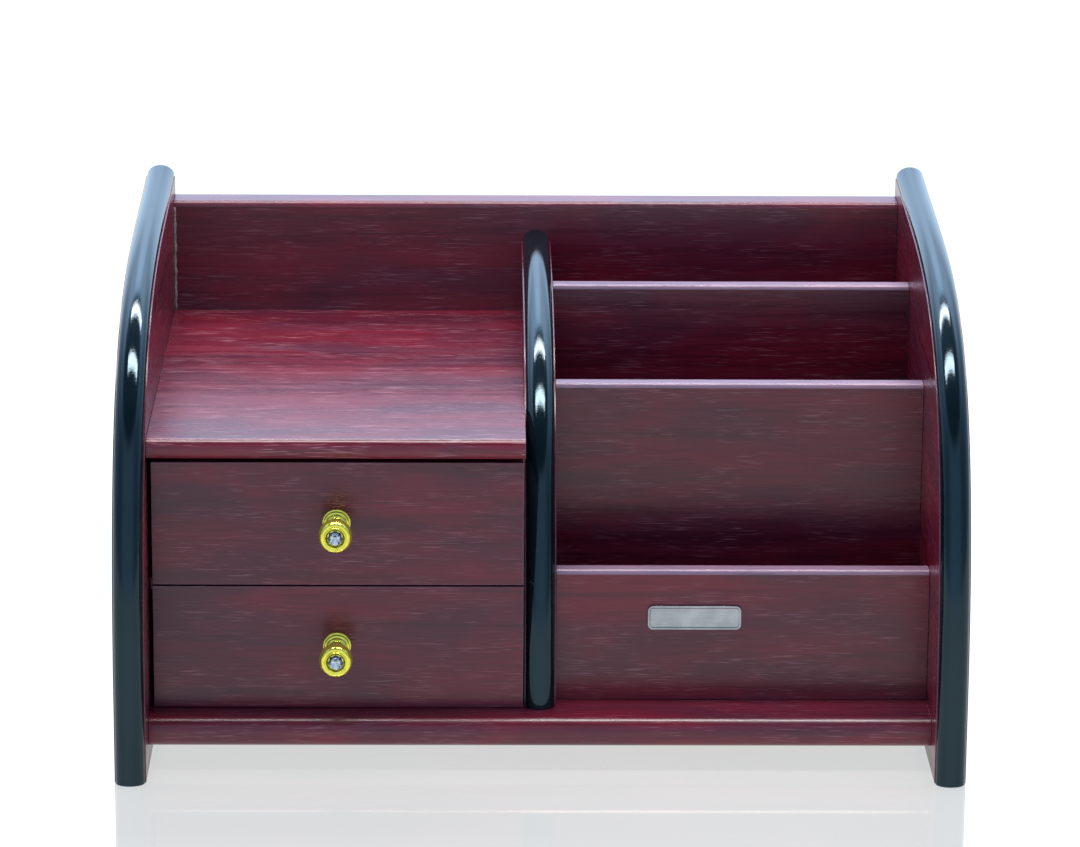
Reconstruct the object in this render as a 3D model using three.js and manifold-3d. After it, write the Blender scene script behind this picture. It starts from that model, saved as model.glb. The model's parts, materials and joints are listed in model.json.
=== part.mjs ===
// Desk organizer: a laminated board case with two drawers on the left and three open
// compartments on the right, between D-shaped side panels that carry glossy edge trim.
// Millimetres. +X is to the right, +Y to the rear, +Z up. The origin lies on the
// resting surface, under the middle of the case.

import * as THREE from 'three';
import { mergeVertices } from 'three/addons/utils/BufferGeometryUtils.js';
import Module from 'manifold-3d';

// ---------------------------------------------------------------- driving dimensions

const caseWidth = 324;
const caseDepth = 240;
const panelThickness = 12; // side panels and centre divider
const thinBoard = 8; // shelf and partitions
const jointGap = 0.25; // between pieces that fit into each other

// Inner faces of the side panels and faces of the centre divider.
const innerX = caseWidth / 2 - panelThickness;
const dividerX = panelThickness / 2;

// Side panel profile: straight front up to curveStart, one cubic curve back to the rear.
const trimCrown = 4.5; // how far the trim stands out from the panel's edge
const curveStart = 32.5;
const frontHandle = 161; // length of the curve's upright control handle
const rearHandle = { back: 125.5, drop: 8.25 }; // the curve's handle at its rear end
const panelRearHeight = 182.25;

// The divider has the same profile, set back and lower, and ends at the back panel.
const dividerSetback = 31.5;
const dividerDrop = 21.5;

// Edge trim: a T-section, a little narrower than the panel, whose tongue sits in a slot.
const trimWidth = 11.2;
const tongueThickness = 2;
const tongueDepth = 6;
const curveSteps = 36;

const bottomBoard = { front: 20, bottom: 8, thickness: 12 };
const backPanel = { thickness: 15, top: 174.7, corner: 2.4 };
const shelf = { front: 29, top: 128.4 };
const runnerBoard = { thickness: 5, top: 69.35 }; // between the drawers, under the upper one

// Upright boards of the right bay: front face and top edge.
const uprightCorner = 1.75; // rounding along both sides of a top edge
const uprightBoards = [
  { name: 'front_board', front: 44.5, top: 72.35 },
  { name: 'middle_partition', front: 89.5, top: 134.35 },
  { name: 'rear_partition', front: 162.25, top: 155.4 },
];

const nameplate = { x: 59.5, z: 53.5, width: 36, height: 9.5, thickness: 1.25, corner: 2 };

// Drawers. Heights are measured from the lower edge of each drawer front.
const drawerFront = { y: 34, thickness: 9, height: 48.75, leftGap: 1.5, rightGap: 0.5 };
const drawerPitch = 49.35; // from one drawer front to the next
const drawerBox = { rear: 222, height: 42.5, board: 6 };
const drawerFloor = { thickness: 3, height: 4, groove: 3 };

// Knobs: their place on a drawer front, and sizes along the axis outward from the front.
const knobX = -(innerX + dividerX) / 2; // in the middle of the drawer bay
const knobHeight = 25.25;
const knobLength = 22;
const knobBore = { radius: 2.2, depth: 10.5 };
const crystalSeat = 19.6;
const screw = { radius: 2, length: 18, headRadius: 4, headHeight: 2.6, hole: 2.3 };

const dowel = { radius: 2.5, length: 22, clearance: 0.2, inSidePanel: 8, inBottomBoard: 6 };

// ------------------------------------------------------------------------- materials

function finish(color, roughness, metalness) {
  return new THREE.MeshStandardMaterial({ color, roughness, metalness });
}

const laminate = finish('#4b1b26', 0.35, 0);
const blackTrim = finish('#10161a', 0.12, 0);
const hardboard = finish('#5a3226', 0.7, 0);
const beech = finish('#c9a878', 0.7, 0);
const brass = finish('#d8c534', 0.18, 1);
const crystalGlass = finish('#dce8f0', 0.05, 0);
const steel = finish('#b9bcc0', 0.3, 1);
const satinSilver = finish('#c8c8cc', 0.3, 1);

// -------------------------------------------------------------------- joining and cutting

const wasm = await Module();
wasm.setup();

function toSolid(geometry) {
  const bare = geometry.clone();
  bare.deleteAttribute('normal');
  bare.deleteAttribute('uv');
  const welded = mergeVertices(bare, 1e-4);
  return new wasm.Manifold(new wasm.Mesh({
    numProp: 3,
    vertProperties: Float32Array.from(welded.attributes.position.array),
    triVerts: Uint32Array.from(welded.index.array),
  }));
}

function toGeometry(solid) {
  const mesh = solid.getMesh();
  const geometry = new THREE.BufferGeometry();
  geometry.setAttribute('position', new THREE.BufferAttribute(mesh.vertProperties, 3));
  geometry.setIndex(new THREE.BufferAttribute(mesh.triVerts, 1));
  geometry.computeVertexNormals();
  return geometry;
}

function cut(geometry, ...tools) {
  let solid = toSolid(geometry);
  for (const tool of tools) {
    solid = solid.subtract(toSolid(tool));
  }
  return toGeometry(solid);
}

function keepWithin(geometry, room) {
  return toGeometry(toSolid(geometry).intersect(toSolid(room)));
}

// ----------------------------------------------------------------------- basic shapes

// A rectangular block between two limits on each axis.
function block([left, right], [front, rear], [bottom, top]) {
  const geometry = new THREE.BoxGeometry(right - left, rear - front, top - bottom);
  geometry.translate((left + right) / 2, (front + rear) / 2, (bottom + top) / 2);
  return geometry;
}

// An outline drawn in side view (first coordinate Y, second Z), made solid across X.
const sideView = new THREE.Matrix4().makeBasis(
  new THREE.Vector3(0, 1, 0),
  new THREE.Vector3(0, 0, 1),
  new THREE.Vector3(1, 0, 0),
);

function acrossX(outline, left, right) {
  const options = { depth: right - left, bevelEnabled: false, curveSegments: 12 };
  const geometry = new THREE.ExtrudeGeometry(outline, options);
  geometry.applyMatrix4(sideView);
  geometry.translate(left, 0, 0);
  return geometry;
}

// A level board with a half-round front edge.
function nosedBoard(left, right, front, rear, bottom, top) {
  const radius = (top - bottom) / 2;
  const outline = new THREE.Shape();
  outline.moveTo(rear, bottom);
  outline.lineTo(rear, top);
  outline.lineTo(front + radius, top);
  outline.absarc(front + radius, bottom + radius, radius, Math.PI / 2, Math.PI * 1.5, false);
  outline.closePath();
  return acrossX(outline, left, right);
}

// An upright board with rounded corners along its top edge.
function uprightBoard([left, right], [front, rear], [bottom, top], corner) {
  const outline = new THREE.Shape();
  outline.moveTo(rear, bottom);
  outline.lineTo(rear, top - corner);
  outline.absarc(rear - corner, top - corner, corner, 0, Math.PI / 2, false);
  outline.absarc(front + corner, top - corner, corner, Math.PI / 2, Math.PI, false);
  outline.lineTo(front, bottom);
  outline.closePath();
  return acrossX(outline, left, right);
}

// A cylinder that starts at a point and runs along +X or +Z.
function rod(axis, start, radius, length) {
  const geometry = new THREE.CylinderGeometry(radius, radius, length, 24);
  geometry.translate(0, length / 2, 0);
  if (axis === 'x') {
    geometry.rotateZ(-Math.PI / 2);
  } else {
    geometry.rotateX(Math.PI / 2);
  }
  geometry.translate(...start);
  return geometry;
}

// ------------------------------------------------------------------ scene and pieces

const organizer = new THREE.Group();
const room = new THREE.Group();
room.position.y = -caseDepth / 2;
organizer.add(room);

function addPiece(parent, name, geometry, material) {
  const mesh = new THREE.Mesh(geometry, material);
  mesh.name = name;
  parent.add(mesh);
  return mesh;
}

// ----------------------------------------------------------------------------- dowels

const bottomTop = bottomBoard.bottom + bottomBoard.thickness;
const backFront = caseDepth - backPanel.thickness;

// Places of the dowels that pin the bottom board and back panel to the side panels.
const sideDowelPlaces = [
  { label: 'bottom_front', y: 60, z: bottomBoard.bottom + bottomBoard.thickness / 2 },
  { label: 'bottom_rear', y: 190, z: bottomBoard.bottom + bottomBoard.thickness / 2 },
  { label: 'back_lower', y: caseDepth - backPanel.thickness / 2, z: 50 },
  { label: 'back_upper', y: caseDepth - backPanel.thickness / 2, z: 140 },
];

const sideDowels = ['left', 'right'].flatMap((side) => {
  const inBoard = dowel.length - dowel.inSidePanel;
  const start = side === 'left' ? -innerX - dowel.inSidePanel : innerX - inBoard;
  return sideDowelPlaces.map(({ label, y, z }) => (
    { name: `${side}_${label}_dowel`, axis: 'x', start: [start, y, z] }
  ));
});

const dividerDowels = [
  { name: 'divider_front_dowel', y: 80 },
  { name: 'divider_rear_dowel', y: 200 },
].map(({ name, y }) => ({ name, axis: 'z', start: [0, y, bottomTop - dowel.inBottomBoard] }));

const dowels = [...sideDowels, ...dividerDowels];

// One hole for every dowel, a little wider and longer than the dowel.
const dowelHoles = dowels.map(({ axis, start }) => {
  const along = axis === 'x' ? 0 : 2;
  const from = start.map((value, index) => value - (index === along ? dowel.clearance : 0));
  return rod(axis, from, dowel.radius + dowel.clearance, dowel.length + 2 * dowel.clearance);
});

for (const { name, axis, start } of dowels) {
  addPiece(room, name, rod(axis, start, dowel.radius, dowel.length), beech);
}

// ----------------------------------------------------- side panels, divider and their trim

// The profile's curve in side view, moved back and down from the side panel's place.
function profileCurve(setback, drop) {
  const front = trimCrown + setback;
  const start = curveStart - drop;
  const rear = caseDepth + setback;
  const end = panelRearHeight - drop;
  return new THREE.CubicBezierCurve(
    new THREE.Vector2(front, start),
    new THREE.Vector2(front, start + frontHandle),
    new THREE.Vector2(rear - rearHandle.back, end - rearHandle.drop),
    new THREE.Vector2(rear, end),
  );
}

// The area under the curve, with its curved edge moved inward, running past rear and floor.
function areaUnder(curve, inset) {
  const overrun = 20;
  const outline = new THREE.Shape();
  const points = [];
  for (let step = 0; step <= curveSteps; step += 1) {
    const along = step / curveSteps;
    const tangent = curve.getTangentAt(along);
    const inward = new THREE.Vector2(tangent.y, -tangent.x);
    points.push(curve.getPointAt(along).addScaledVector(inward, inset));
  }
  outline.moveTo(points[0].x, -overrun);
  points.forEach((point) => outline.lineTo(point.x, point.y));
  outline.lineTo(points[curveSteps].x + overrun, points[curveSteps].y);
  outline.lineTo(points[curveSteps].x + overrun, -overrun);
  outline.closePath();
  return outline;
}

function curvedPanel(curve, centreX, within) {
  const half = panelThickness / 2;
  const slotHalf = tongueThickness / 2 + jointGap;
  const slotDepth = tongueDepth + 2 * jointGap;
  const panel = acrossX(areaUnder(curve, jointGap), centreX - half, centreX + half);
  const slot = cut(
    acrossX(areaUnder(curve, -1), centreX - slotHalf, centreX + slotHalf),
    acrossX(areaUnder(curve, slotDepth), centreX - half, centreX + half),
  );
  return cut(keepWithin(panel, within), slot);
}

// Section of the trim: outward is +x of the drawing, across the panel is y.
function trimSection() {
  const half = trimWidth / 2;
  const section = new THREE.Shape();
  section.moveTo(0, -half);
  section.absellipse(0, 0, trimCrown, half, -Math.PI / 2, Math.PI / 2, false);
  section.lineTo(0, tongueThickness / 2);
  section.lineTo(-tongueDepth, tongueThickness / 2);
  section.lineTo(-tongueDepth, -tongueThickness / 2);
  section.lineTo(0, -tongueThickness / 2);
  section.closePath();
  return section;
}

function edgeTrim(curve, centreX, within) {
  const toSpace = (point) => new THREE.Vector3(centreX, point.x, point.y);
  const foot = new THREE.Vector3(centreX, curve.v0.x, -1);
  const path = new THREE.CurvePath();
  if (curve.v0.y > foot.z) {
    path.add(new THREE.LineCurve3(foot, toSpace(curve.v0)));
  }
  path.add(new THREE.CubicBezierCurve3(...[curve.v0, curve.v1, curve.v2, curve.v3].map(toSpace)));
  const options = { steps: curveSteps, extrudePath: path, curveSegments: 5 };
  const sweep = new THREE.ExtrudeGeometry(trimSection(), options);
  return keepWithin(sweep, within);
}

function addCurvedPanel(panelName, trimName, centreX, setback, drop, floor, rear) {
  const curve = profileCurve(setback, drop);
  const half = panelThickness / 2;
  const within = block([centreX - half, centreX + half], [0, rear], [floor, 2 * panelRearHeight]);
  addPiece(room, panelName, cut(curvedPanel(curve, centreX, within), ...dowelHoles), laminate);
  addPiece(room, trimName, edgeTrim(curve, centreX, within), blackTrim);
}

const sideCentre = innerX + panelThickness / 2;
addCurvedPanel('left_side_panel', 'left_edge_trim', -sideCentre, 0, 0, 0, caseDepth);
addCurvedPanel('right_side_panel', 'right_edge_trim', sideCentre, 0, 0, 0, caseDepth);
addCurvedPanel(
  'centre_divider', 'divider_edge_trim', 0, dividerSetback, dividerDrop, bottomTop, backFront,
);

// ------------------------------------------------------------------- boards of the case

const bottomShape = nosedBoard(
  -innerX, innerX, bottomBoard.front, backFront, bottomBoard.bottom, bottomTop,
);
addPiece(room, 'bottom_board', cut(bottomShape, ...dowelHoles), laminate);

const backShape = uprightBoard(
  [-innerX, innerX],
  [backFront, caseDepth],
  [bottomBoard.bottom, backPanel.top],
  backPanel.corner,
);
addPiece(room, 'back_panel', cut(backShape, ...dowelHoles), laminate);

const shelfShape = nosedBoard(
  -innerX, -dividerX, shelf.front, backFront, shelf.top - thinBoard, shelf.top,
);
addPiece(room, 'drawer_bay_shelf', shelfShape, laminate);

const runnerShape = block(
  [-innerX, -dividerX],
  [drawerFront.y + drawerFront.thickness + 1, backFront],
  [runnerBoard.top - runnerBoard.thickness, runnerBoard.top],
);
addPiece(room, 'drawer_runner_board', runnerShape, laminate);

for (const { name, front, top } of uprightBoards) {
  const shape = uprightBoard(
    [dividerX, innerX], [front, front + thinBoard], [bottomTop, top], uprightCorner,
  );
  addPiece(room, name, shape, laminate);
}

// Blank plate on the front board.
function plateShape({ width, height, thickness, corner }) {
  const [right, top] = [width / 2, height / 2];
  const outline = new THREE.Shape();
  outline.moveTo(corner - right, -top);
  outline.absarc(right - corner, corner - top, corner, -Math.PI / 2, 0, false);
  outline.absarc(right - corner, top - corner, corner, 0, Math.PI / 2, false);
  outline.absarc(corner - right, top - corner, corner, Math.PI / 2, Math.PI, false);
  outline.absarc(corner - right, corner - top, corner, Math.PI, Math.PI * 1.5, false);
  outline.closePath();
  const options = { depth: thickness, bevelEnabled: false, curveSegments: 5 };
  return new THREE.ExtrudeGeometry(outline, options);
}

const plate = addPiece(room, 'nameplate', plateShape(nameplate), satinSilver);
plate.rotation.x = Math.PI / 2;
plate.position.set(nameplate.x, uprightBoards[0].front, nameplate.z);

// ---------------------------------------------------------------------------- drawers

// Turned profile of a knob, from the end of its screw bore to the seat of its crystal.
function knobProfile() {
  const profile = new THREE.Path();
  profile.moveTo(0, knobBore.depth);
  profile.lineTo(knobBore.radius, knobBore.depth);
  profile.lineTo(knobBore.radius, 0);
  profile.lineTo(5.2, 0);
  profile.quadraticCurveTo(5.8, 0.9, 5.1, 1.9);
  profile.lineTo(4.6, 2.1);
  profile.quadraticCurveTo(4.9, 3.4, 3.9, 3.8);
  profile.quadraticCurveTo(2.9, 9, 3.6, 13.4);
  profile.lineTo(4.7, 14.2);
  profile.lineTo(4.9, 15.4);
  profile.bezierCurveTo(7.1, 15.7, 7.2, 20.6, 5.2, 21.6);
  profile.quadraticCurveTo(4.2, knobLength, 3.6, 21.6);
  profile.lineTo(3.5, crystalSeat);
  profile.lineTo(0, crystalSeat);
  return profile.getPoints(3);
}

// Round-cut crystal: pavilion in the knob's seat, girdle, crown and flat table.
const crystalProfile = [[0, 0.3], [3.1, 1.4], [3.1, 1.8], [1.9, 2.6], [0, 2.6]].map(
  ([radius, height]) => [radius, crystalSeat + height],
);

// Pan-head screw from inside the drawer; its shank points outward.
function screwProfile() {
  const profile = new THREE.Path();
  const tip = screw.length - screw.headHeight;
  profile.moveTo(0, -screw.headHeight);
  profile.lineTo(screw.headRadius - 1.2, -screw.headHeight);
  profile.quadraticCurveTo(screw.headRadius, -screw.headHeight, screw.headRadius, -1);
  profile.lineTo(screw.headRadius, 0);
  profile.lineTo(screw.radius, 0);
  profile.lineTo(screw.radius, tip - 0.6);
  profile.lineTo(screw.radius - 0.6, tip);
  profile.lineTo(0, tip);
  return profile.getPoints(2);
}

function turned(profile, segments) {
  const points = profile.map((point) => (
    point instanceof THREE.Vector2 ? point : new THREE.Vector2(...point)
  ));
  return new THREE.LatheGeometry(points, segments);
}

// Limits of a drawer's parts, with the lower edge of its front at height zero.
const drawerLeft = -innerX + drawerFront.leftGap;
const drawerRight = -dividerX - drawerFront.rightGap;
const boxFront = drawerFront.y + drawerFront.thickness;
const floorTop = drawerFloor.height + drawerFloor.thickness;

// The space of the drawer's floor board, and the grooves that hold it.
function floorSpace(margin) {
  const inner = drawerBox.board - drawerFloor.groove;
  return block(
    [drawerLeft + inner - margin, drawerRight - inner + margin],
    [boxFront - drawerFloor.groove - margin, drawerBox.rear + (margin > 0 ? 1 : 0)],
    [drawerFloor.height - margin, floorTop + margin],
  );
}

function addDrawer(label, height) {
  const drawer = new THREE.Group();
  drawer.position.z = height;
  room.add(drawer);

  const grooves = floorSpace(jointGap);
  const frontShape = block(
    [drawerLeft, drawerRight], [drawerFront.y, boxFront], [0, drawerFront.height],
  );
  const screwHole = new THREE.CylinderGeometry(screw.hole, screw.hole, 2 * drawerFront.thickness, 24);
  screwHole.translate(knobX, boxFront - drawerFront.thickness / 2, knobHeight);
  addPiece(drawer, `${label}_drawer_front`, cut(frontShape, screwHole, grooves), laminate);

  const sides = {
    left: [drawerLeft, drawerLeft + drawerBox.board],
    right: [drawerRight - drawerBox.board, drawerRight],
  };
  for (const [side, limits] of Object.entries(sides)) {
    const shape = block(limits, [boxFront, drawerBox.rear], [0, drawerBox.height]);
    addPiece(drawer, `${label}_drawer_${side}_side`, cut(shape, grooves), laminate);
  }

  const rearShape = block(
    [sides.left[1], sides.right[0]],
    [drawerBox.rear - drawerBox.board, drawerBox.rear],
    [floorTop + jointGap, drawerBox.height],
  );
  addPiece(drawer, `${label}_drawer_back`, rearShape, laminate);
  addPiece(drawer, `${label}_drawer_floor`, floorSpace(0), hardboard);

  const turnedPieces = [
    [`${label}_knob`, turned(knobProfile(), 28), brass, drawerFront.y],
    [`${label}_knob_crystal`, turned(crystalProfile, 12), crystalGlass, drawerFront.y],
    [`${label}_knob_screw`, turned(screwProfile(), 16), steel, boxFront],
  ];
  for (const [name, geometry, material, y] of turnedPieces) {
    const piece = addPiece(drawer, name, geometry, material);
    piece.rotation.x = Math.PI;
    piece.position.set(knobX, y, knobHeight);
  }
}

const lowestDrawer = bottomTop + jointGap;
addDrawer('lower', lowestDrawer);
addDrawer('upper', lowestDrawer + drawerPitch);

export default organizer;
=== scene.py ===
import json
import math

import bmesh
import bpy
from mathutils import Matrix, Vector

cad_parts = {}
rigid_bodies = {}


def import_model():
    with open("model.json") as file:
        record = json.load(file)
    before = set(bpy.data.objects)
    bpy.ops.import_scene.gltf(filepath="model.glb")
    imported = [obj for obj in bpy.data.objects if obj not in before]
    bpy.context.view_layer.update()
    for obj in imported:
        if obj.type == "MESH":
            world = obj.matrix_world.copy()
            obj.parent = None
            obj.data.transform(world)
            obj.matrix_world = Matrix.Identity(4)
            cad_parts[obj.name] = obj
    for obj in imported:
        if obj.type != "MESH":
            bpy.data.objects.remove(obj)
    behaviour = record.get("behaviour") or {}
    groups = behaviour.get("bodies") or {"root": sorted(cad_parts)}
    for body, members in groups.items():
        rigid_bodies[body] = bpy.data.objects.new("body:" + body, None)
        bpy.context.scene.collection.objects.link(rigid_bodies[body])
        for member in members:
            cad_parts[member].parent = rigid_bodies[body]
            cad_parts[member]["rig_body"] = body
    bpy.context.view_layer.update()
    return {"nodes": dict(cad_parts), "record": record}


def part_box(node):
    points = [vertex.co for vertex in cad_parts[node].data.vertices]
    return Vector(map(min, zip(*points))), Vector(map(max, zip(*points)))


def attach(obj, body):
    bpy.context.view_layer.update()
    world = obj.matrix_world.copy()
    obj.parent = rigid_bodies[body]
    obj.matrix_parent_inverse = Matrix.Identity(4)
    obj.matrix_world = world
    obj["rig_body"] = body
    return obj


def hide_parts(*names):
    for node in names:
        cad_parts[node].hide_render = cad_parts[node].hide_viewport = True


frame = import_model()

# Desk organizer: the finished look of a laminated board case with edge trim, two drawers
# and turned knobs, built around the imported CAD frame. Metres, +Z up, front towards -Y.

MM = 0.001
SCENE = bpy.context.scene

# ------------------------------------------------------------------ dimensions of the look

EDGE_WEAR = 0.3 * MM  # rounding of board edges
SMOOTH_BELOW = math.radians(28)  # edges flatter than this belong to a curve
WELD = 0.001 * MM  # vertices closer than this are one
NOSE_STEPS = 20

# Section of the edge trim: a crown on the panel's edge and a tongue in its slot.
TRIM_CROWN = 4.5 * MM
TRIM_HALF_WIDTH = 5.6 * MM
TONGUE_HALF = 1 * MM
TONGUE_DEPTH = 6 * MM
TRIM_END_WEAR = 0.2 * MM

# The trim's line in side view, from the front foot: straight, then one cubic curve.
FOOT_OVERRUN = 2 * MM  # cut off flat after the sweep
STRAIGHT_GAP = 8 * MM  # from the straight's last ring to the curve
CURVE_START = 32.5 * MM
CURVE_HANDLE = 161 * MM
CURVE_LENGTH = 235.5 * MM
CURVE_END = 182.25 * MM
END_HANDLE = (125.5 * MM, 8.25 * MM)
TRIM_DROPS = {"left_edge_trim": 0, "right_edge_trim": 0, "divider_edge_trim": 21.5 * MM}
TRIM_STEPS = 150
CROWN_STEPS = 28

FRONT_NOSED = ("bottom_board", "drawer_bay_shelf")
TOP_CORNERS = {
    "back_panel": 2.4 * MM,
    "front_board": 1.75 * MM,
    "middle_partition": 1.75 * MM,
    "rear_partition": 1.75 * MM,
}
CORNER_STEPS = 12
PALE_TOPS = ("front_board", "middle_partition", "rear_partition")
DRAWERS = ("lower", "upper")

# Material slots of a board's mesh; slot 0 is its face.
TOP_EDGE_SLOT = 1
# Rounded corners are paler: partly wear, partly a painted highlight along the edge.
WEAR_AND_HIGHLIGHT_SLOT = 2
BEAD_SLOT = 3

# A thin pale bead in the corner of back panel and left side panel.
BEAD_WIDTH = 1.1 * MM
BEAD_DEPTH = 0.8 * MM
BEAD_LEVELS = 24
BEAD_ARC_STEPS = 5
BEAD_SWELLS = ((0.16, 2.3), (0.10, 5.1))  # share of the width, and angle from level to level

# Turned parts, screws and plate. Outlines of turned parts are in millimetres.
KNOB_SEGMENTS = 96
SCREW_SEGMENTS = 48
SCREW_HEAD = 2.6
RECESS_DEPTH = 1.7 * MM
FOIL_LEVEL = 21.6  # facets whose middle is nearer to the drawer than this carry foil
PLATE_CORNER = 2 * MM
PLATE_CORNER_STEPS = 8
PLATE_RIM = 0.7 * MM
PLATE_STEP = 0.3 * MM  # width and depth of the step from rim to field
PLATE_WEAR = 0.12 * MM

# ------------------------------------------------------------------------------- the frame

SLOTS = {row["node"]: row["material_slot"] for row in frame["record"]["subparts"]}


def body_of(node):
    return frame["nodes"][node]["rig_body"]


def stand_for(node, mesh, materials):
    """Shows mesh in place of a CAD node, on the node's body and with the given materials."""
    piece = bpy.data.objects.new(f"visual_{node}", mesh)
    SCENE.collection.objects.link(piece)
    for material in materials:
        mesh.materials.append(material)
    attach(piece, body_of(node))
    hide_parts(node)
    return piece


# ------------------------------------------------------------------------------- materials


class Graph:
    """One material's nodes. Inputs are given by name, as a number, a colour or a socket."""

    def __init__(self, name):
        self.material = bpy.data.materials.new(name)
        self.material.use_nodes = True
        self.tree = self.material.node_tree
        self.tree.nodes.clear()

    def add(self, kind, inputs=None, output=0, **settings):
        node = self.tree.nodes.new(kind)
        for key, value in settings.items():
            setattr(node, key, value)
        for key, value in (inputs or {}).items():
            if isinstance(value, bpy.types.NodeSocket):
                self.tree.links.new(value, node.inputs[key])
            else:
                node.inputs[key].default_value = value
        return node.outputs[output] if node.outputs else node

    def coordinates(self):
        return self.add("ShaderNodeTexCoord", output="Object")

    def stretched(self, vector, scale, turn=(0, 0, 0)):
        inputs = {"Vector": vector, "Scale": scale, "Rotation": turn}
        return self.add("ShaderNodeMapping", inputs)

    def noise(self, vector, scale=1.0, detail=3.0, roughness=0.5, distortion=0.0):
        inputs = {
            "Vector": vector,
            "Scale": scale,
            "Detail": detail,
            "Roughness": roughness,
            "Distortion": distortion,
        }
        return self.add("ShaderNodeTexNoise", inputs)

    def spread(self, value, low, high, to_low=0.0, to_high=1.0):
        inputs = {
            "Value": value,
            "From Min": low,
            "From Max": high,
            "To Min": to_low,
            "To Max": to_high,
        }
        return self.add("ShaderNodeMapRange", inputs, interpolation_type="SMOOTHSTEP")

    def multiply(self, a, b):
        return self.add("ShaderNodeMath", {0: a, 1: b}, operation="MULTIPLY")

    def blend(self, share, a, b):
        node = self.tree.nodes.new("ShaderNodeMix")
        node.data_type = "RGBA"
        for key, value in ((0, share), (6, a), (7, b)):
            if isinstance(value, bpy.types.NodeSocket):
                self.tree.links.new(value, node.inputs[key])
            else:
                node.inputs[key].default_value = value
        return node.outputs[2]

    def bump(self, height, strength, distance, normal=None):
        inputs = {"Height": height, "Strength": strength, "Distance": distance}
        if normal is not None:
            inputs["Normal"] = normal
        return self.add("ShaderNodeBump", inputs)

    def finish(self, inputs):
        shader = self.add("ShaderNodeBsdfPrincipled", inputs)
        self.add("ShaderNodeOutputMaterial", {"Surface": shader})
        return self.material


def rgb(red, green, blue):
    return (red, green, blue, 1.0)


# The redder and the browner tone of each laminate; edge bands are paler, and so are rounded corners, partly
# from wear and partly as a painted highlight.
CASE_TONES = (rgb(0.178, 0.0075, 0.024), rgb(0.100, 0.0110, 0.028))
DRAWER_TONES = (rgb(0.155, 0.007, 0.025), rgb(0.082, 0.0090, 0.027))
TOP_EDGE_TONES = (rgb(0.30, 0.175, 0.25), rgb(0.23, 0.15, 0.22))
# Paler rounded corners: partly wear, partly a painted highlight.
WEAR_AND_HIGHLIGHT_TONES = (rgb(0.17, 0.08, 0.115), rgb(0.11, 0.045, 0.07))


def laminate(name, grain, offset, pore_strength, tones):
    """Satin mahogany-print foil: soft bands and clouds with short fine pores along the grain."""
    graph = Graph(name)
    place = graph.add("ShaderNodeVectorMath", {0: graph.coordinates(), 1: offset})

    def along_grain(length, width):
        scale = [1 / width] * 3
        scale["xyz".index(grain)] = 1 / length
        return graph.stretched(place, scale)

    bands = graph.noise(along_grain(140 * MM, 4.5 * MM), detail=4, roughness=0.6, distortion=0.4)
    clouds = graph.noise(along_grain(70 * MM, 20 * MM), detail=3, distortion=0.5)
    pores = graph.noise(along_grain(10 * MM, 0.36 * MM), detail=1)
    lines = graph.noise(along_grain(26 * MM, 0.7 * MM), detail=3)
    patches = graph.noise(along_grain(26 * MM, 8 * MM), detail=2)

    red, brown = tones
    dark = rgb(*(share * 0.45 for share in brown[:3]))
    pale = rgb(0.46, 0.20, 0.24)
    colour = graph.blend(graph.spread(clouds, 0.34, 0.68), brown, red)
    colour = graph.blend(graph.spread(bands, 0.50, 0.30, 0, 0.55), colour, dark)
    colour = graph.blend(graph.spread(lines, 0.46, 0.32, 0, 0.42), colour, dark)
    pore_share = graph.multiply(
        graph.spread(pores, 0.58, 0.70, 0, pore_strength),
        graph.spread(patches, 0.42, 0.60, 0.1, 1),
    )
    colour = graph.blend(pore_share, colour, pale)

    foil = graph.noise(graph.stretched(place, (260, 260, 260)), detail=2)
    normal = graph.bump(foil, 0.06, 0.15 * MM)
    normal = graph.bump(lines, 0.34, 0.06 * MM, normal)
    normal = graph.bump(pores, 0.14, 0.04 * MM, normal)
    return graph.finish({
        "Base Color": colour,
        "Roughness": graph.spread(bands, 0.3, 0.7, 0.23, 0.31),
        "IOR": 1.52,
        "Normal": normal,
    })


def gloss_black(name):
    """Black moulded trim: deep gloss with a faint orange peel and drawn lines; its colour is mottled with
    painted reflection streaks.
    """
    graph = Graph(name)
    place = graph.coordinates()
    peel = graph.noise(place, scale=1600, detail=2)
    waves = graph.noise(graph.stretched(place, (420, 26, 26)), detail=2)
    roughness_and_painted_streaks = graph.noise(place, scale=45, detail=4)
    normal = graph.bump(peel, 0.5, 0.05 * MM)
    normal = graph.bump(waves, 0.12, 0.10 * MM, normal)
    # The colour's mottle is painted reflection streaks; the same noise also varies the gloss.
    colour = graph.blend(
        graph.spread(roughness_and_painted_streaks, 0.35, 0.7), rgb(0.0015, 0.006, 0.009), rgb(0.003, 0.0085, 0.0125)
    )
    return graph.finish({
        "Base Color": colour,
        "Roughness": graph.spread(roughness_and_painted_streaks, 0.3, 0.7, 0.05, 0.10),
        "IOR": 1.56,
        "Specular Tint": rgb(0.58, 0.86, 1.0),
        "Normal": normal,
    })


def polished_brass(name):
    """Lemon-yellow plated brass with fine turning marks and a little tarnish."""
    graph = Graph(name)
    place = graph.coordinates()
    turning = graph.noise(graph.stretched(place, (300, 6000, 300)), detail=2)
    tarnish = graph.noise(place, scale=420, detail=4)
    colour = graph.blend(
        graph.spread(tarnish, 0.45, 0.75), rgb(1.0, 0.92, 0.13), rgb(0.80, 0.70, 0.08)
    )
    return graph.finish({
        "Base Color": colour,
        "Metallic": 0.84,
        "Roughness": graph.spread(tarnish, 0.3, 0.75, 0.14, 0.25),
        "Normal": graph.bump(turning, 0.12, 0.02 * MM),
    })


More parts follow.
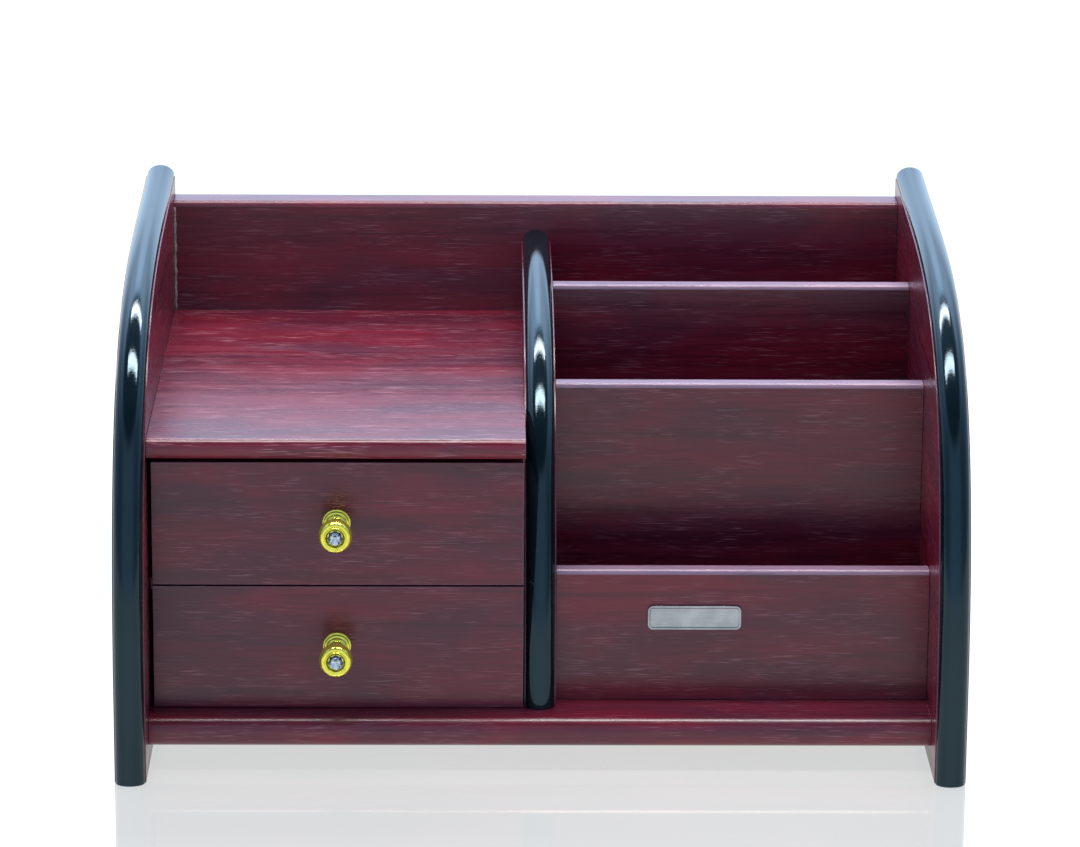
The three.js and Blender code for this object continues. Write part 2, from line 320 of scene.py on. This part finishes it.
def clear_crystal(name):
    """Clear cut glass with a trace of dust."""
    graph = Graph(name)
    dust = graph.noise(graph.coordinates(), scale=1600, detail=2)
    colour = graph.blend(
        graph.spread(dust, 0.5, 0.8), rgb(0.95, 0.98, 1.0), rgb(0.80, 0.86, 0.90)
    )
    return graph.finish({
        "Base Color": colour,
        "Roughness": graph.spread(dust, 0.45, 0.8, 0.0, 0.08),
        "IOR": 1.62,
        "Transmission Weight": 1.0,
    })


def crystal_foil(name):
    """Silver backing on the facets behind the crystal."""
    graph = Graph(name)
    spots = graph.noise(graph.coordinates(), scale=2200, detail=2)
    colour = graph.blend(graph.spread(spots, 0.4, 0.7), rgb(0.86, 0.88, 0.90), rgb(0.6, 0.64, 0.7))
    return graph.finish({
        "Base Color": colour,
        "Metallic": 1.0,
        "Roughness": graph.spread(spots, 0.4, 0.7, 0.04, 0.12),
    })


def satin_silver(name):
    """Satin plate, brushed along its length."""
    graph = Graph(name)
    place = graph.coordinates()
    brushing = graph.noise(graph.stretched(place, (90, 5200, 5200)), detail=3)
    clouds = graph.noise(place, scale=160, detail=3)
    colour = graph.blend(graph.spread(clouds, 0.3, 0.7), rgb(0.36, 0.37, 0.38), rgb(0.46, 0.47, 0.48))
    return graph.finish({
        "Base Color": colour,
        "Metallic": 1.0,
        "Roughness": graph.spread(brushing, 0.3, 0.7, 0.24, 0.42),
        "Normal": graph.bump(brushing, 0.25, 0.02 * MM),
    })


def zinc_steel(name):
    """Zinc-plated steel with a mottled passivation."""
    graph = Graph(name)
    place = graph.coordinates()
    mottle = graph.noise(place, scale=700, detail=4)
    colour = graph.blend(graph.spread(mottle, 0.35, 0.7), rgb(0.62, 0.63, 0.64), rgb(0.45, 0.46, 0.44))
    return graph.finish({
        "Base Color": colour,
        "Metallic": 1.0,
        "Roughness": graph.spread(mottle, 0.3, 0.7, 0.22, 0.40),
        "Normal": graph.bump(mottle, 0.1, 0.03 * MM),
    })


def hardboard(name):
    """Pressed fibre board: matted short fibres, dark brown."""
    graph = Graph(name)
    place = graph.coordinates()
    fibres = graph.noise(graph.stretched(place, (700, 1100, 700)), detail=5, roughness=0.7)
    clouds = graph.noise(place, scale=40, detail=3)
    colour = graph.blend(graph.spread(fibres, 0.35, 0.65), rgb(0.05, 0.022, 0.013), rgb(0.13, 0.062, 0.036))
    colour = graph.blend(graph.spread(clouds, 0.4, 0.7, 0, 0.4), colour, rgb(0.035, 0.016, 0.011))
    return graph.finish({
        "Base Color": colour,
        "Roughness": graph.spread(fibres, 0.3, 0.7, 0.62, 0.82),
        "Normal": graph.bump(fibres, 0.35, 0.08 * MM),
    })


def pale_bead_finish(name):
    """Greyish pale bead with a fine mottle."""
    graph = Graph(name)
    dust = graph.noise(graph.coordinates(), scale=900, detail=4)
    colour = graph.blend(graph.spread(dust, 0.35, 0.65), rgb(0.20, 0.15, 0.13), rgb(0.40, 0.34, 0.30))
    return graph.finish({
        "Base Color": colour,
        "Roughness": graph.spread(dust, 0.3, 0.7, 0.40, 0.60),
        "Normal": graph.bump(dust, 0.3, 0.05 * MM),
    })


def raw_beech(name):
    """Unfinished beech with short flecks."""
    graph = Graph(name)
    place = graph.coordinates()
    flecks = graph.noise(graph.stretched(place, (160, 1500, 1500)), detail=3)
    colour = graph.blend(graph.spread(flecks, 0.35, 0.65), rgb(0.38, 0.22, 0.11), rgb(0.58, 0.40, 0.22))
    return graph.finish({
        "Base Color": colour,
        "Roughness": graph.spread(flecks, 0.3, 0.7, 0.6, 0.75),
        "Normal": graph.bump(flecks, 0.2, 0.05 * MM),
    })


def pale_floor(name):
    """White light table under a thin glossy sheet."""
    graph = Graph(name)
    mottle = graph.noise(graph.coordinates(), scale=3, detail=3)
    tone = graph.blend(mottle, rgb(0.565, 0.595, 0.60), rgb(0.585, 0.615, 0.62))
    glow = graph.add("ShaderNodeEmission", {"Color": tone, "Strength": 1.0})
    paper = graph.add("ShaderNodeBsdfDiffuse", {"Color": rgb(0.10, 0.09, 0.085)})
    gloss = graph.add("ShaderNodeBsdfGlossy", {"Color": rgb(0.36, 0.34, 0.27), "Roughness": 0.05})
    shader = graph.add("ShaderNodeAddShader", {0: glow, 1: paper})
    shader = graph.add("ShaderNodeAddShader", {0: shader, 1: gloss})
    graph.add("ShaderNodeOutputMaterial", {"Surface": shader})
    return graph.material


# ---------------------------------------------------------------------------- mesh helpers


def mesh_from(built, name):
    """Turns a bmesh into a smooth-shaded mesh and frees it."""
    bmesh.ops.recalc_face_normals(built, faces=built.faces)
    for face in built.faces:
        face.smooth = True
    mesh = bpy.data.meshes.new(name)
    built.to_mesh(mesh)
    built.free()
    return mesh


def round_edges(built, width, material=-1):
    """Rounds every edge that isn't part of a curve; -1 keeps the neighbouring material."""
    sharp = [
        edge for edge in built.edges
        if len(edge.link_faces) == 2 and edge.calc_face_angle() > SMOOTH_BELOW
    ]
    bmesh.ops.bevel(
        built, geom=sharp, offset=width, segments=2, profile=0.5, material=material,
        affect="EDGES", clamp_overlap=True, loop_slide=False,
    )


def even_shading(piece):
    """Keeps flat faces flat next to small rounded edges."""
    modifier = piece.modifiers.new("even_shading", "WEIGHTED_NORMAL")
    modifier.keep_sharp = True
    modifier.weight = 80


def extruded(outline, low_x, high_x):
    """A solid with a side-view outline of (y, z) points, from low_x to high_x."""
    built = bmesh.new()
    ends = []
    for x in (low_x, high_x):
        ends.append([built.verts.new((x, y, z)) for y, z in outline])
    for end in ends:
        built.faces.new(end)
    count = len(outline)
    for index in range(count):
        after = (index + 1) % count
        built.faces.new((ends[0][index], ends[0][after], ends[1][after], ends[1][index]))
    bmesh.ops.recalc_face_normals(built, faces=built.faces)
    return built


def arc(centre, radius, from_angle, turn, steps):
    """Points of an arc in side view; angles are measured from +Y towards +Z."""
    points = []
    for step in range(steps + 1):
        angle = from_angle + turn * step / steps
        points.append((centre[0] + radius * math.cos(angle), centre[1] + radius * math.sin(angle)))
    return points


# ---------------------------------------------------------------------------------- boards


def front_nosed_outline(low, high):
    """Side view of a level board with a half-round front edge."""
    radius = (high.z - low.z) / 2
    centre = (low.y + radius, low.z + radius)
    nose = arc(centre, radius, math.pi / 2, math.pi, NOSE_STEPS)
    return [(high.y, low.z), (high.y, high.z), *nose]


def top_rounded_outline(low, high, corner):
    """Side view of an upright board with two rounded corners along its top."""
    quarter = math.pi / 2
    rear = arc((high.y - corner, high.z - corner), corner, 0, quarter, CORNER_STEPS)
    front = arc((low.y + corner, high.z - corner), corner, quarter, quarter, CORNER_STEPS)
    return [(low.y, low.z), (high.y, low.z), *rear, *front]


def laminate_set(face):
    """Material slots of a board: its face, banded top edge, rounded corners paler from wear and a painted
    highlight, and pale bead.
    """
    others = ("top_edge_band", "wear_and_painted_highlight", "pale_corner_bead")
    return [face, *(bpy.data.materials[name] for name in others)]


def add_pale_bead(built, corner, low_z, high_z):
    """A thin pale bead that fills an upright inner corner, rounded towards the front."""
    rings = []
    for level in range(BEAD_LEVELS + 1):
        z = low_z + (high_z - low_z) * level / BEAD_LEVELS
        swell = 1
        for share, turn in BEAD_SWELLS:
            swell += share * math.sin(level * turn)
        ring = [(corner.x, corner.y, z)]
        for step in range(BEAD_ARC_STEPS + 1):
            angle = math.pi / 2 * step / BEAD_ARC_STEPS
            across = BEAD_WIDTH * swell * math.cos(angle)
            out = BEAD_DEPTH * swell * math.sin(angle)
            ring.append((corner.x + across, corner.y - out, z))
        rings.append([built.verts.new(point) for point in ring])
    faces = [built.faces.new(rings[0]), built.faces.new(rings[-1])]
    for ring, following in zip(rings, rings[1:]):
        for index, vertex in enumerate(ring):
            after = (index + 1) % len(ring)
            faces.append(built.faces.new((vertex, ring[after], following[after], following[index])))
    for face in faces:
        face.material_index = BEAD_SLOT


def edged_board(node, material):
    """A board with a shaped front or top edge and rounded corners, paler from wear and a painted highlight;
    the back panel has a bead.
    """
    low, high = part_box(node)
    if node in FRONT_NOSED:
        outline = front_nosed_outline(low, high)
    else:
        outline = top_rounded_outline(low, high, TOP_CORNERS[node])
    built = extruded(outline, low.x, high.x)
    if node in PALE_TOPS:
        for face in built.faces:
            if face.calc_center_median().z > high.z - TOP_CORNERS[node]:
                face.material_index = TOP_EDGE_SLOT
    round_edges(built, EDGE_WEAR, WEAR_AND_HIGHLIGHT_SLOT)
    if node == "back_panel":
        _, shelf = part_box("drawer_bay_shelf")
        add_pale_bead(built, low, shelf.z, high.z - TOP_CORNERS[node])
    even_shading(stand_for(node, mesh_from(built, node), laminate_set(material)))


def plain_board(node, material):
    """A board with its CAD shape, grooves and bores included, and rounded edges, paler from wear and a
    painted highlight.
    """
    built = bmesh.new()
    built.from_mesh(frame["nodes"][node].data)
    bmesh.ops.remove_doubles(built, verts=built.verts, dist=WELD)
    bmesh.ops.dissolve_limit(
        built, angle_limit=math.radians(0.5), verts=built.verts, edges=built.edges,
    )
    round_edges(built, EDGE_WEAR, WEAR_AND_HIGHLIGHT_SLOT)
    even_shading(stand_for(node, mesh_from(built, node), laminate_set(material)))


# ------------------------------------------------------------------------------- edge trim


def trim_path(node):
    """Side-view points and directions of the trim's line, from below its foot to the rear."""
    low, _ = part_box(node)
    front = low.y + TRIM_CROWN
    drop = TRIM_DROPS[node]
    start = CURVE_START - drop
    corners = [
        Vector((front, start)),
        Vector((front, start + CURVE_HANDLE)),
        Vector((front + CURVE_LENGTH - END_HANDLE[0], CURVE_END - drop - END_HANDLE[1])),
        Vector((front + CURVE_LENGTH, CURVE_END - drop)),
    ]
    path = []
    foot = low.z - FOOT_OVERRUN
    if start > foot:
        for height in (foot, start - STRAIGHT_GAP):
            path.append((Vector((front, height)), Vector((0, 1))))
    for step in range(TRIM_STEPS + 1):
        t = step / TRIM_STEPS
        s = 1 - t
        point = (
            s**3 * corners[0] + 3 * s * s * t * corners[1]
            + 3 * s * t * t * corners[2] + t**3 * corners[3]
        )
        direction = (
            s * s * (corners[1] - corners[0]) + 2 * s * t * (corners[2] - corners[1])
            + t * t * (corners[3] - corners[2])
        )
        path.append((point, direction.normalized()))
    return path


def trim_section():
    """Points of the T-section: across the panel, and outward from its edge."""
    section = []
    for step in range(CROWN_STEPS + 1):
        angle = math.pi * (step / CROWN_STEPS - 0.5)
        section.append((TRIM_HALF_WIDTH * math.sin(angle), TRIM_CROWN * math.cos(angle)))
    section[0] = (-TRIM_HALF_WIDTH, 0)
    section[-1] = (TRIM_HALF_WIDTH, 0)
    section += [
        (TONGUE_HALF, 0), (TONGUE_HALF, -TONGUE_DEPTH),
        (-TONGUE_HALF, -TONGUE_DEPTH), (-TONGUE_HALF, 0),
    ]
    return section


def cut_flat(built, place, outward):
    """Removes what lies beyond a plane and closes the cut."""
    geometry = built.verts[:] + built.edges[:] + built.faces[:]
    bmesh.ops.bisect_plane(
        built, geom=geometry, plane_co=place, plane_no=outward, clear_outer=True,
    )
    open_edges = [edge for edge in built.edges if edge.is_boundary]
    bmesh.ops.edgeloop_fill(built, edges=open_edges)


def edge_trim(node, material):
    """The trim swept along the panel's curved edge, cut flat at foot and rear."""
    low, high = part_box(node)
    centre = (low.x + high.x) / 2
    section = trim_section()
    built = bmesh.new()
    rings = []
    for point, direction in trim_path(node):
        outward = Vector((-direction.y, direction.x))
        ring = []
        for across, out in section:
            y, z = point + out * outward
            ring.append(built.verts.new((centre + across, y, z)))
        rings.append(ring)
    count = len(section)
    for ring, following in zip(rings, rings[1:]):
        for index in range(count):
            after = (index + 1) % count
            built.faces.new((ring[index], ring[after], following[after], following[index]))
    built.faces.new(rings[0])
    built.faces.new(rings[-1])
    cut_flat(built, (0, 0, low.z), (0, 0, -1))
    cut_flat(built, (0, high.y, 0), (0, 1, 0))
    bmesh.ops.remove_doubles(built, verts=built.verts, dist=WELD)
    bmesh.ops.recalc_face_normals(built, faces=built.faces)
    round_edges(built, TRIM_END_WEAR)
    even_shading(stand_for(node, mesh_from(built, node), [material]))


# ------------------------------------------------------------------- knobs, screws, plate


def curve_points(start, handles, end, steps):
    """Points of a quadratic or cubic curve, without its start."""
    corners = [Vector(start), *(Vector(handle) for handle in handles), Vector(end)]
    points = []
    for step in range(1, steps + 1):
        t = step / steps
        level = corners
        while len(level) > 1:
            level = [a.lerp(b, t) for a, b in zip(level, level[1:])]
        points.append(tuple(level[0]))
    return points


def knob_outline():
    """Radius and distance from the drawer front, in millimetres: collar, neck, head, seat."""
    outline = [(0, 10.5), (2.2, 10.5), (2.2, 0.0), (5.0, 0.0)]
    pieces = [
        ([(5.7, 0.05), (5.7, 1.75)], (5.1, 1.85), 10),
        ([(4.75, 1.9)], (4.65, 2.15), 3),
        ([(5.2, 2.25), (5.1, 3.5)], (4.45, 3.6), 8),
        ([(3.9, 3.7)], (3.8, 4.3), 4),
        ([(4.4, 4.4), (4.3, 5.4)], (3.7, 5.5), 6),
        ([(3.1, 5.8)], (3.0, 6.6), 4),
        ([(2.8, 10.5), (3.1, 12.6)], (3.7, 13.4), 10),
        ([(3.9, 13.6), (4.7, 13.7)], (4.8, 14.3), 6),
        ([(4.85, 14.9)], (5.0, 15.2), 4),
        ([(6.8, 15.6), (6.85, 20.3)], (5.35, 21.3), 18),
        ([(4.9, 21.75), (4.4, 21.35)], (4.3, 21.3), 5),
        ([(4.05, 22.1), (3.75, 22.1)], (3.6, 21.6), 8),
        ([(3.55, 20.6)], (3.5, 19.6), 3),
    ]
    for handles, end, steps in pieces:
        outline += curve_points(outline[-1], handles, end, steps)
    return [*outline, (0, 19.6)]


def screw_outline():
    """Radius and distance from the back of the drawer front, in millimetres."""
    outline = [(0, -SCREW_HEAD), (1.6, -SCREW_HEAD)]
    outline += curve_points(outline[-1], [(3.4, -2.5), (4.0, -1.7)], (4.0, -0.5), 10)
    outline += [(3.9, 0), (2, 0), (2, 14.8), (1.4, 15.4), (0, 15.4)]
    return outline


def turned(outline, segments, centre):
    """A solid of revolution; distances run outward along -Y from centre."""
    built = bmesh.new()
    rings = []
    for radius, distance in outline:
        y = centre.y - distance * MM
        if radius == 0:
            rings.append([built.verts.new((centre.x, y, centre.z))])
            continue
        ring = []
        for step in range(segments):
            angle = 2 * math.pi * step / segments
            x = centre.x + radius * MM * math.cos(angle)
            z = centre.z + radius * MM * math.sin(angle)
            ring.append(built.verts.new((x, y, z)))
        rings.append(ring)
    for ring, following in zip(rings, rings[1:]):
        for step in range(segments):
            after = (step + 1) % segments
            corners = [ring[step % len(ring)], ring[after % len(ring)]]
            corners += [following[after % len(following)], following[step % len(following)]]
            built.faces.new(list(dict.fromkeys(corners)))
    return built


def seat_of(node):
    """The point of a knob's axis on the face of its drawer front."""
    low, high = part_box(node)
    return Vector(((low.x + high.x) / 2, high.y, (low.z + high.z) / 2))


def knob(node, material):
    built = turned(knob_outline(), KNOB_SEGMENTS, seat_of(node))
    mesh = mesh_from(built, node)
    even_shading(stand_for(node, mesh, [material]))


def crystal(node, seat, glass, foil):
    """A round-cut stone: table, crown facets, girdle and pavilion, with foil behind."""
    rings = [
        (0.0, 19.9, 1, 0.0), (1.7, 20.35, 8, 0.5), (3.1, 21.1, 16, 0.0), (3.1, 21.3, 16, 0.0),
        (2.55, 21.8, 8, 0.5), (1.75, 22.15, 8, 0.0),
    ]
    built = bmesh.new()
    for radius, distance, count, turn in rings:
        for step in range(count):
            angle = 2 * math.pi * (step + turn) / count
            x = seat.x + radius * MM * math.cos(angle)
            z = seat.z + radius * MM * math.sin(angle)
            built.verts.new((x, seat.y - distance * MM, z))
    bmesh.ops.convex_hull(built, input=built.verts)
    bmesh.ops.dissolve_limit(
        built, angle_limit=math.radians(1), verts=built.verts, edges=built.edges,
    )
    bmesh.ops.recalc_face_normals(built, faces=built.faces)
    mesh = bpy.data.meshes.new(node)
    foil_front = seat.y - FOIL_LEVEL * MM
    for face in built.faces:
        face.smooth = False
        face.material_index = 1 if face.calc_center_median().y > foil_front else 0
    built.to_mesh(mesh)
    built.free()
    stand_for(node, mesh, [glass, foil])


def cross_recess(centre, depth):
    """A tapered cross that cuts the driver recess of a screw head."""
    built = bmesh.new()
    for turn in (0, math.pi / 2):
        ends = []
        for y, half, thin in ((0.5 * MM, 2.3 * MM, 0.5 * MM), (-depth, 0.7 * MM, 0.25 * MM)):
            ring = []
            for x, z in ((-half, -thin), (half, -thin), (half, thin), (-half, thin)):
                spot = Matrix.Rotation(turn, 3, "Y") @ Vector((x, y, z))
                ring.append(built.verts.new(centre + spot))
            ends.append(ring)
        built.faces.new(ends[0])
        built.faces.new(ends[1])
        for index in range(4):
            after = (index + 1) % 4
            built.faces.new((ends[0][index], ends[0][after], ends[1][after], ends[1][index]))
    return mesh_from(built, "recess")


def subtract(piece, cutter_mesh):
    """Cuts cutter_mesh out of piece and keeps the result as its mesh."""
    cutter = bpy.data.objects.new("cutter", cutter_mesh)
    SCENE.collection.objects.link(cutter)
    modifier = piece.modifiers.new("cut", "BOOLEAN")
    modifier.operation = "DIFFERENCE"
    modifier.solver = "EXACT"
    modifier.use_self = True
    modifier.object = cutter
    bpy.context.view_layer.update()
    graph = bpy.context.evaluated_depsgraph_get()
    result = bpy.data.meshes.new_from_object(piece.evaluated_get(graph))
    piece.modifiers.remove(modifier)
    piece.data = result
    bpy.data.objects.remove(cutter)
    bpy.data.meshes.remove(cutter_mesh)


def screw(node, material):
    low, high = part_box(node)
    head_rear = high.y
    seat = Vector(((low.x + high.x) / 2, head_rear - SCREW_HEAD * MM, (low.z + high.z) / 2))
    built = turned(screw_outline(), SCREW_SEGMENTS, seat)
    piece = stand_for(node, mesh_from(built, node), [material])
    centre = Vector((seat.x, head_rear, seat.z))
    subtract(piece, cross_recess(centre, RECESS_DEPTH))
    even_shading(piece)


def nameplate(node, material):
    """A blank plate with rounded corners, a raised rim and a recessed field."""
    low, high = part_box(node)
    corner = PLATE_CORNER
    outline = []
    centres = (
        (high.x - corner, high.z - corner), (low.x + corner, high.z - corner),
        (low.x + corner, low.z + corner), (high.x - corner, low.z + corner),
    )
    for quarter, (x, z) in enumerate(centres):
        for step in range(PLATE_CORNER_STEPS + 1):
            angle = math.pi / 2 * (quarter + step / PLATE_CORNER_STEPS)
            outline.append((x + corner * math.cos(angle), z + corner * math.sin(angle)))
    built = bmesh.new()
    face = built.faces.new([built.verts.new((x, high.y, z)) for x, z in outline])
    raised = bmesh.ops.extrude_face_region(built, geom=[face])["geom"]
    moved = [part for part in raised if isinstance(part, bmesh.types.BMVert)]
    bmesh.ops.translate(built, verts=moved, vec=(0, low.y - high.y, 0))
    bmesh.ops.recalc_face_normals(built, faces=built.faces)
    front = min(built.faces, key=lambda part: part.calc_center_median().y)
    bmesh.ops.inset_region(built, faces=[front], thickness=PLATE_RIM, depth=0)
    bmesh.ops.inset_region(built, faces=[front], thickness=PLATE_STEP, depth=-PLATE_STEP)
    round_edges(built, PLATE_WEAR)
    even_shading(stand_for(node, mesh_from(built, node), [material]))


# ---------------------------------------------------------------- stage, lights and camera


def stage_floor():
    half = 6.0
    built = bmesh.new()
    bmesh.ops.create_grid(built, x_segments=8, y_segments=8, size=half)
    floor = bpy.data.objects.new("table_top", mesh_from(built, "table_top"))
    SCENE.collection.objects.link(floor)
    floor.data.materials.append(pale_floor("pale_floor"))
    floor.location.z = -0.05 * MM


# Brightness of the studio by height: 0 is level, 1 is straight up.
BEHIND = (
    (0.0, 0.38), (0.31, 0.40), (0.47, 0.56), (0.64, 0.82),
    (0.72, 0.88), (0.77, 0.2), (0.85, 0.1), (1.0, 0.05),
)
AHEAD = (
    (0.0, 0.20), (0.14, 0.18), (0.34, 0.17), (0.72, 0.16),
    (0.80, 0.02), (1.0, 0.02),
)
STUDIO_TINT = (0.54, 0.735, 1.0)
STUDIO_STRENGTH = 5.44

# Parts of the direction vector: X is aside, Y is back and Z is up.
TURN_TO_BACK = (-0.5, 0.5)  # along Y, from the room ahead to the backdrop
MIDDLE_OFFSET = 0.03  # the backdrop's bright middle is this far to the left
MIDDLE_EDGE = (0.05, 0.20)
MIDDLE_FALL = 0.70  # brightness of the backdrop beside its middle
MIDDLE_HEIGHTS = (0.25, 0.40)  # below them the backdrop is even
SIDE_EDGE = (0.30, 0.85)
SIDE_FALL = 0.45


def studio_world():
    """A backdrop, brightest in its middle, a softer room in front, dark ceiling, darker sides."""
    world = bpy.data.worlds.new("studio")
    SCENE.world = world
    world.use_nodes = True
    tree = world.node_tree
    tree.nodes.clear()

    def add(kind, inputs, **settings):
        node = tree.nodes.new(kind)
        for key, value in settings.items():
            setattr(node, key, value)
        for key, value in inputs.items():
            if isinstance(value, bpy.types.NodeSocket):
                tree.links.new(value, node.inputs[key])
            else:
                node.inputs[key].default_value = value
        return node

    def smooth(value, low, high, to_low, to_high):
        inputs = {
            "Value": value, "From Min": low, "From Max": high, "To Min": to_low, "To Max": to_high,
        }
        return add("ShaderNodeMapRange", inputs, interpolation_type="SMOOTHSTEP").outputs[0]

    def by_height(stops):
        ramp = add("ShaderNodeValToRGB", {0: parts["Z"]})
        while len(ramp.color_ramp.elements) < len(stops):
            ramp.color_ramp.elements.new(0.5)
        for element, (place, value) in zip(ramp.color_ramp.elements, stops):
            element.position = place
            element.color = (*(tint * value for tint in STUDIO_TINT), 1)
        return ramp.outputs[0]

    direction = add("ShaderNodeTexCoord", {})
    parts = add("ShaderNodeSeparateXYZ", {0: direction.outputs["Generated"]}).outputs
    offset = add("ShaderNodeMath", {0: parts["X"], 1: MIDDLE_OFFSET}, operation="ADD").outputs[0]
    aside = add("ShaderNodeMath", {0: offset}, operation="ABSOLUTE").outputs[0]
    middle = smooth(aside, *MIDDLE_EDGE, 1.0, MIDDLE_FALL)
    raised = smooth(parts["Z"], *MIDDLE_HEIGHTS, 0.0, 1.0)
    share = add("ShaderNodeMix", {0: raised, 2: 1.0, 3: middle}).outputs[0]
    behind = add("ShaderNodeVectorMath", {0: by_height(BEHIND), 3: share}, operation="SCALE")
    mixed = add("ShaderNodeMix", {
        0: smooth(parts["Y"], *TURN_TO_BACK, 0.0, 1.0),
        6: by_height(AHEAD),
        7: behind.outputs[0],
    }, data_type="RGBA")
    across = add("ShaderNodeMath", {0: parts["X"]}, operation="ABSOLUTE").outputs[0]
    side_share = smooth(across, *SIDE_EDGE, 1.0, SIDE_FALL)
    shaded = add(
        "ShaderNodeVectorMath", {0: mixed.outputs[2], 3: side_share}, operation="SCALE",
    )
    background = add("ShaderNodeBackground", {
        "Color": shaded.outputs[0], "Strength": STUDIO_STRENGTH,
    })
    add("ShaderNodeOutputWorld", {"Surface": background.outputs[0]})


def soft_box(name, place, target, width, depth, radiance, colour):
    """A rectangular light of a given radiance that faces target."""
    light = bpy.data.lights.new(name, "AREA")
    light.shape = "RECTANGLE"
    light.size = width
    light.size_y = depth
    light.energy = radiance * math.pi * width * depth
    light.color = colour
    lamp = bpy.data.objects.new(name, light)
    SCENE.collection.objects.link(lamp)
    lamp.location = place
    lamp.rotation_euler = (Vector(target) - Vector(place)).to_track_quat("-Z", "Y").to_euler()


def studio_lights():
    middle = (0, 0, 0.12)
    radiance = 24
    colour = (1.0, 0.94, 0.96)
    soft_box("rear_strip", (0, 0.62, 1.20), middle, 1.0, 0.11, radiance, colour)
    soft_box("overhead_strip", (0, 0, 1.35), (0, 0, 0), 1.1, 0.20, radiance, colour)


CAMERA_PLACE = Vector((-28.712, -1877.132, 645.106)) * MM
CAMERA_ANGLES = (0.895, 15.925, 0.382)  # yaw, pitch and roll in degrees
CAMERA_LENS = 163.852


def photo_camera():
    """A long lens in front of the organizer and a little above it, slightly rolled."""
    yaw, pitch, roll = (math.radians(angle) for angle in CAMERA_ANGLES)
    forward = Vector((
        math.sin(yaw) * math.cos(pitch), math.cos(yaw) * math.cos(pitch), -math.sin(pitch),
    ))
    level_right = Vector((math.cos(yaw), -math.sin(yaw), 0))
    level_up = level_right.cross(forward)
    right = math.cos(roll) * level_right + math.sin(roll) * level_up
    up = math.cos(roll) * level_up - math.sin(roll) * level_right
    matrix = Matrix((right, up, -forward)).transposed().to_4x4()
    matrix.translation = CAMERA_PLACE
    data = bpy.data.cameras.new("photo_camera")
    data.lens = CAMERA_LENS
    data.sensor_width = 36
    data.sensor_fit = "HORIZONTAL"
    data.clip_end = 50
    camera = bpy.data.objects.new("photo_camera", data)
    SCENE.collection.objects.link(camera)
    camera.matrix_world = matrix
    SCENE.camera = camera


# ------------------------------------------------------------------------------- the build


def build_case():
    level_grain = laminate("laminate_across", "x", (0, 0, 0), 0.34, CASE_TONES)
    deep_grain = laminate("laminate_deep", "y", (0.3, 0.1, 0.2), 0.35, CASE_TONES)
    laminate("top_edge_band", "x", (0.5, 0, 0.1), 0.4, TOP_EDGE_TONES)
    # Paler rounded corners, partly wear and partly a painted highlight.
    laminate("wear_and_painted_highlight", "x", (0.2, 0.4, 0), 0.5, WEAR_AND_HIGHLIGHT_TONES)
    pale_bead_finish("pale_corner_bead")
    trim = gloss_black("gloss_black_trim")
    shelf_grain = laminate("laminate_shelf", "x", (0.15, 0.3, 0), 0.8, CASE_TONES)
    edged_board("drawer_bay_shelf", shelf_grain)
    for node in ("bottom_board", *TOP_CORNERS):
        edged_board(node, level_grain)
    for node in ("left_side_panel", "right_side_panel", "centre_divider"):
        plain_board(node, deep_grain)
    plain_board("drawer_runner_board", level_grain)
    for node in TRIM_DROPS:
        edge_trim(node, trim)
    nameplate("nameplate", satin_silver("satin_silver_plate"))


def build_drawers():
    level_grain = laminate("laminate_drawer", "x", (0.7, 0.2, 0.4), 0.3, DRAWER_TONES)
    deep_grain = bpy.data.materials["laminate_deep"]
    board = hardboard("hardboard_floor")
    brass = polished_brass("polished_brass")
    glass = clear_crystal("clear_crystal")
    foil = crystal_foil("crystal_foil")
    steel = zinc_steel("zinc_steel")
    for drawer in DRAWERS:
        plain_board(f"{drawer}_drawer_front", level_grain)
        plain_board(f"{drawer}_drawer_back", level_grain)
        plain_board(f"{drawer}_drawer_left_side", deep_grain)
        plain_board(f"{drawer}_drawer_right_side", deep_grain)
        plain_board(f"{drawer}_drawer_floor", board)
        knob(f"{drawer}_knob", brass)
        crystal(f"{drawer}_knob_crystal", seat_of(f"{drawer}_knob"), glass, foil)
        screw(f"{drawer}_knob_screw", steel)


def finish_dowels():
    beech = raw_beech("raw_beech")
    for name, node in frame["nodes"].items():
        if SLOTS[name] == "beech":
            node.data.materials.clear()
            node.data.materials.append(beech)


photo_camera()
SCENE.view_settings.view_transform = "Standard"
studio_world()
studio_lights()
stage_floor()
build_case()
build_drawers()
finish_dowels()
